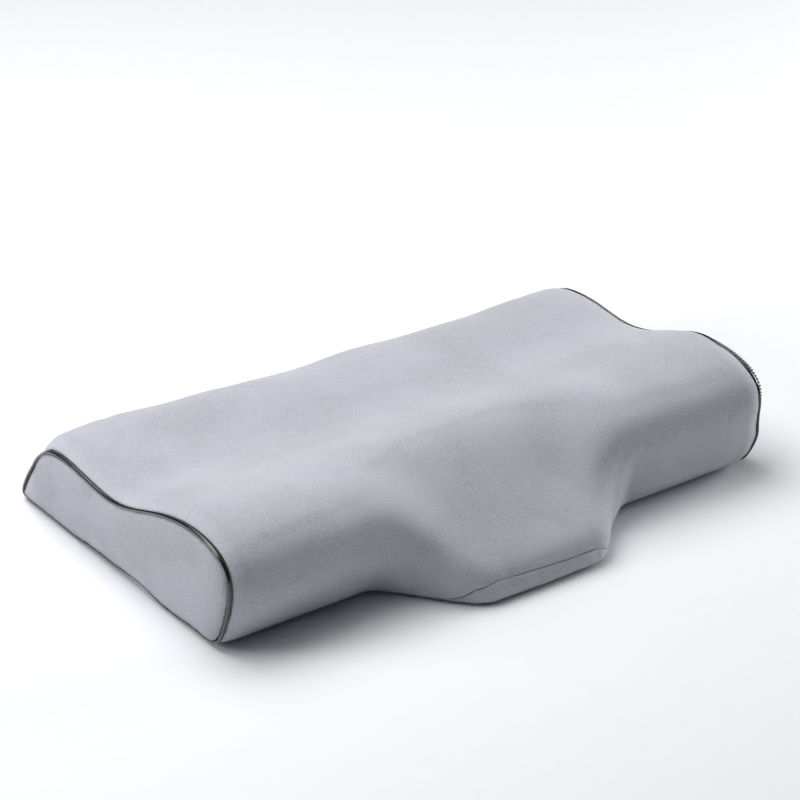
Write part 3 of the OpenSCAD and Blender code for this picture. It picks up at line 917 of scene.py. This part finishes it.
def knit_fabric(name, colour):
    """Fine pebbled knit of the cover."""
    s = Shader(name, 0.85, Sheen_Weight=0.3, Sheen_Roughness=0.4, Specular_IOR_Level=0.3)
    where = s.place()
    pebble = s.pebbles(where, 0.62)
    course = s.noise(s.place((0.5, 1, 1)), 1.0, 2)
    fuzz = s.noise(where, 4.0, 3)
    patch = s.noise(where, 0.012, 3)
    round_top = s.ramp(pebble, 0.75, 0.05)
    tone = s.mix(round_top, scaled(colour, 0.80), scaled(colour, 1.08))
    tone = s.mix(s.math("MULTIPLY", s.ramp(course, 0.35, 0.7), 0.5), tone, scaled(colour, 0.88))
    tone = s.mix(s.math("MULTIPLY", s.ramp(patch, 0.35, 0.65), 0.5), tone, scaled(colour, 1.05))
    normal = s.bump(round_top, 0.5, 0.35)
    normal = s.bump(course, 0.5, 0.5, normal)
    normal = s.bump(fuzz, 0.2, 0.15, normal)
    rough = s.math("ADD", s.math("MULTIPLY", fuzz, 0.15), 0.76)
    return s.finish(tone, normal, rough)


def ribbed_fabric(name, colour):
    """Spacer mesh of the end panels: fine upright ribs with small holes between."""
    s = Shader(name, 0.88, Sheen_Weight=0.25, Sheen_Roughness=0.5, Specular_IOR_Level=0.25)
    where = s.place()
    bend = s.add("TexNoise", {"Vector": where, "Scale": 0.06, "Detail": 2.0}, output=1)
    bent = s.add("Mix", {"Factor": 0.985, 4: bend, 5: where}, output=1, data_type="VECTOR")
    rib = s.add("TexWave", {
        "Vector": bent, "Scale": 0.11, "Distortion": 0.6, "Detail": 2.0, "Detail Scale": 0.8,
    }, output=1, wave_type="BANDS", bands_direction="Y")
    hole = s.pebbles(s.place((1, 1, 0.7)), 0.75)
    knot = s.ramp(hole, 0.6, 0.1)
    fuzz = s.noise(where, 3.0, 3)
    patch = s.noise(where, 0.015, 2)
    height = s.math("ADD", s.math("MULTIPLY", rib, 0.7), s.math("MULTIPLY", knot, 0.5))
    tone = s.mix(rib, scaled(colour, 0.86), scaled(colour, 1.07))
    tone = s.mix(s.math("ADD", s.math("MULTIPLY", knot, 0.45), 0.55), scaled(colour, 0.45), tone)
    tone = s.mix(s.math("MULTIPLY", s.ramp(patch, 0.4, 0.6), 0.3), tone, scaled(colour, 1.06))
    normal = s.bump(height, 0.8, 0.6)
    normal = s.bump(fuzz, 0.25, 0.2, normal)
    return s.finish(tone, normal)


def satin(name, colour):
    """Bias-cut satin of the piping, its twill running across the strip."""
    s = Shader(name, 0.2, Specular_IOR_Level=0.4, Coat_Weight=0.9, Coat_Roughness=0.06)
    uv = s.add("UVMap", uv_map="strip")
    turned = s.add("Mapping", {"Vector": uv, "Rotation": (0, 0, math.radians(42))})
    twill = s.add("TexWave", {
        "Vector": turned, "Scale": 0.36, "Distortion": 0.5, "Detail": 1.0,
    }, output=1, wave_type="BANDS", bands_direction="X")
    thread = s.noise(s.place(), 2.2, 3)
    tone = s.mix(twill, scaled(colour, 0.6), scaled(colour, 1.25))
    tone = s.mix(s.math("MULTIPLY", thread, 0.3), tone, scaled(colour, 1.5))
    normal = s.bump(s.math("ADD", twill, s.math("MULTIPLY", thread, 0.4)), 0.2, 0.1)
    rough = s.math("ADD", s.math("MULTIPLY", thread, 0.14), 0.12)
    return s.finish(tone, normal, rough)


def cotton(name, colour, scale):
    """Twisted yarn: hairy, with darker gaps."""
    s = Shader(name, 0.92, Sheen_Weight=0.3, Specular_IOR_Level=0.2)
    where = s.place()
    fibre = s.noise(where, scale, 4, 0.65)
    patch = s.noise(where, scale * 0.05, 2)
    tone = s.mix(fibre, scaled(colour, 0.78), scaled(colour, 1.12))
    tone = s.mix(s.math("MULTIPLY", patch, 0.3), tone, scaled(colour, 1.08))
    return s.finish(tone, s.bump(fibre, 0.4, 0.15))


def jersey(name, colour):
    """Plain knit of the sleeve round the foam."""
    s = Shader(name, 0.9, Sheen_Weight=0.3, Sheen_Roughness=0.5, Specular_IOR_Level=0.2)
    where = s.place()
    wale = s.add("TexWave", {
        "Vector": where, "Scale": 0.28, "Distortion": 1.2, "Detail": 2.0, "Detail Scale": 1.4,
    }, output=1, wave_type="BANDS", bands_direction="X")
    loop = s.pebbles(s.place((1.0, 0.7, 0.7)), 1.1)
    height = s.math("ADD", s.math("MULTIPLY", wale, 0.6), s.ramp(loop, 0.7, 0.1))
    tone = s.mix(wale, scaled(colour, 0.93), scaled(colour, 1.03))
    tone = s.mix(s.math("MULTIPLY", s.noise(where, 0.02), 0.3), tone, scaled(colour, 0.95))
    return s.finish(tone, s.bump(height, 0.4, 0.2))


def foam_skin(name, colour):
    """Moulded slow-recovery foam: open pores under a thin skin."""
    s = Shader(name, 0.82, Subsurface_Weight=0.15, Subsurface_Scale=0.004)
    where = s.place()
    pore = s.ramp(s.pebbles(where, 0.9), 0.05, 0.4)
    big = s.ramp(s.pebbles(where, 0.12), 0.02, 0.12)
    patch = s.noise(where, 0.02, 3)
    tone = s.mix(pore, scaled(colour, 0.8), colour)
    tone = s.mix(s.ramp(patch, 0.3, 0.7), tone, s.mix(0.4, tone, rgb(0.82, 0.74, 0.52)))
    normal = s.bump(pore, 0.5, 0.25)
    return s.finish(tone, s.bump(big, 0.4, 0.6, normal))


def woven_tape(name, colour):
    """Herringbone zip tape."""
    s = Shader(name, 0.8, Sheen_Weight=0.2, Specular_IOR_Level=0.35)
    where = s.place(turn=(math.degrees(BACK_SLOPE), 0, 0))
    weft = s.add("TexWave", {
        "Vector": where, "Scale": 0.42, "Distortion": 0.2,
    }, output=1, wave_type="BANDS", bands_direction="DIAGONAL")
    warp = s.add("TexWave", {
        "Vector": where, "Scale": 0.5, "Distortion": 0.2,
    }, output=1, wave_type="BANDS", bands_direction="X")
    weave = s.math("MAXIMUM", weft, warp)
    fibre = s.noise(where, 3.0, 3)
    tone = s.mix(weave, scaled(colour, 0.75), scaled(colour, 1.05))
    tone = s.mix(s.math("MULTIPLY", fibre, 0.3), tone, scaled(colour, 1.1))
    return s.finish(tone, s.bump(weave, 0.4, 0.12))


def nylon(name, colour):
    """Slightly clouded filament of the teeth."""
    s = Shader(name, 0.38, Specular_IOR_Level=0.55, Subsurface_Weight=0.1, Subsurface_Scale=0.001)
    where = s.place()
    cloud = s.noise(where, 0.8, 2)
    tone = s.mix(cloud, scaled(colour, 0.88), scaled(colour, 1.08))
    rough = s.math("ADD", s.math("MULTIPLY", cloud, 0.2), 0.3)
    return s.finish(tone, s.bump(cloud, 0.1, 0.05), rough)


def thread(name, colour):
    """Plied sewing thread."""
    s = Shader(name, 0.6, Sheen_Weight=0.3, Specular_IOR_Level=0.45)
    ply = s.add("TexWave", {
        "Vector": s.place(), "Scale": 1.6, "Distortion": 0.3,
    }, output=1, wave_type="BANDS", bands_direction="DIAGONAL")
    tone = s.mix(ply, scaled(colour, 0.75), scaled(colour, 1.1))
    return s.finish(tone, s.bump(ply, 0.4, 0.05))


def painted_metal(name, colour, metallic, wear):
    """Die-cast metal, worn bright where its edges rub."""
    s = Shader(name, 0.4, Metallic=metallic, Specular_IOR_Level=0.5)
    where = s.place()
    scuff = s.noise(where, 1.6, 4, 0.7)
    cloud = s.noise(where, 0.25, 2)
    edge = s.add("NewGeometry", output="Pointiness")
    rubbed = s.math("MULTIPLY", s.ramp(edge, 0.53, 0.62), s.ramp(scuff, 0.35, 0.6))
    tone = s.mix(cloud, scaled(colour, 0.88), scaled(colour, 1.08))
    tone = s.mix(s.math("MULTIPLY", rubbed, wear), tone, rgb(0.55, 0.55, 0.57))
    rough = s.math("ADD", s.math("MULTIPLY", scuff, 0.3), 0.24)
    return s.finish(tone, s.bump(scuff, 0.12, 0.06), rough)


COVER_GREY = rgb(0.515, 0.52, 0.58)
END_GREY = rgb(0.49, 0.49, 0.555)
TAPE_GREY = rgb(0.40, 0.40, 0.45)
FINISHES = [
    ("cover_fabric", knit_fabric("cover_fabric", COVER_GREY), [cover, band, gusset, bottom]),
    ("end_fabric", ribbed_fabric("end_fabric", END_GREY), ends),
    ("piping_satin", satin("piping_satin", rgb(0.007, 0.007, 0.009)), bindings),
    ("piping_cotton", cotton("piping_cotton", rgb(0.72, 0.70, 0.64), 1.4), cords),
    ("foam", foam_skin("foam", rgb(0.90, 0.86, 0.70)), [foam]),
    ("liner_knit", jersey("liner_knit", rgb(0.84, 0.84, 0.82)),
     [liner_top, liner_bottom, *liner_ends]),
    ("zip_tape", woven_tape("zip_tape", TAPE_GREY), tapes),
    ("zip_coil", nylon("zip_coil", rgb(0.36, 0.36, 0.41)), coils),
    ("zip_tape", thread("zip_thread", TAPE_GREY), coil_stitch),
    ("cover_fabric", thread("cover_thread", COVER_GREY), [*topstitch, *tacks]),
    ("zip_stop_metal", painted_metal("zip_stop_metal", rgb(0.62, 0.62, 0.64), 1.0, 0.5), [stops]),
    ("zip_enamel", painted_metal("zip_enamel", rgb(0.24, 0.24, 0.27), 0.0, 0.8), [slider, pull]),
]
for slot, material, objects in FINISHES:
    for obj in objects:
        obj.data.materials.clear()
        obj.data.materials.append(material)

# A piece has the name of the node that it stands for, to which Blender may add a number
REPLACED = [
    cover, band, gusset, bottom, *ends, *bindings, *cords, foam,
    liner_top, liner_bottom, *liner_ends, *tapes, *coils,
]
for obj in REPLACED:
    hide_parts(obj.name.split(".")[0])

# ---- Floor and lights ------------------------------------------------------


def area_light(name, place, target, size, power):
    light = bpy.data.lights.new(name, "AREA")
    light.shape = "RECTANGLE"
    light.size, light.size_y = size
    light.energy = power
    obj = bpy.data.objects.new(name, light)
    bpy.context.collection.objects.link(obj)
    obj.location = place
    obj.rotation_euler = (Vector(target) - Vector(place)).to_track_quat("-Z", "Y").to_euler()


def make_stage():
    bpy.ops.mesh.primitive_plane_add(size=14, location=(0, 0, -0.0003))
    floor = bpy.context.object
    floor.name = "floor"
    paper = Shader("floor_paper", 0.8, Specular_IOR_Level=0.1)
    speck = paper.noise(paper.place(), 0.05, 2)
    tone = paper.mix(speck, rgb(0.90, 0.905, 0.93), rgb(0.92, 0.925, 0.945))
    floor.data.materials.append(paper.finish(tone, paper.bump(speck, 0.02, 0.05)))
    world = bpy.data.worlds.new("studio")
    bpy.context.scene.world = world
    world.use_nodes = True
    world.node_tree.nodes["Background"].inputs["Color"].default_value = (0.90, 0.93, 1.0, 1)
    world.node_tree.nodes["Background"].inputs["Strength"].default_value = 0.05
    area_light("key", (-0.4, 0.75, 2.1), (0, 0, 0), (2.2, 1.7), 44)
    area_light("left", (-1.9, 0.75, 0.8), (0, 0, 0.05), (0.7, 0.7), 15)
    area_light("right", (2.2, -0.2, 0.45), (0, 0, 0.05), (0.9, 0.6), 28)
    area_light("ceiling", (0, 2.0, 3.6), (0, 2.0, 0), (6.4, 6.4), 64)
    bpy.context.scene.view_settings.view_transform = "Standard"


make_stage()
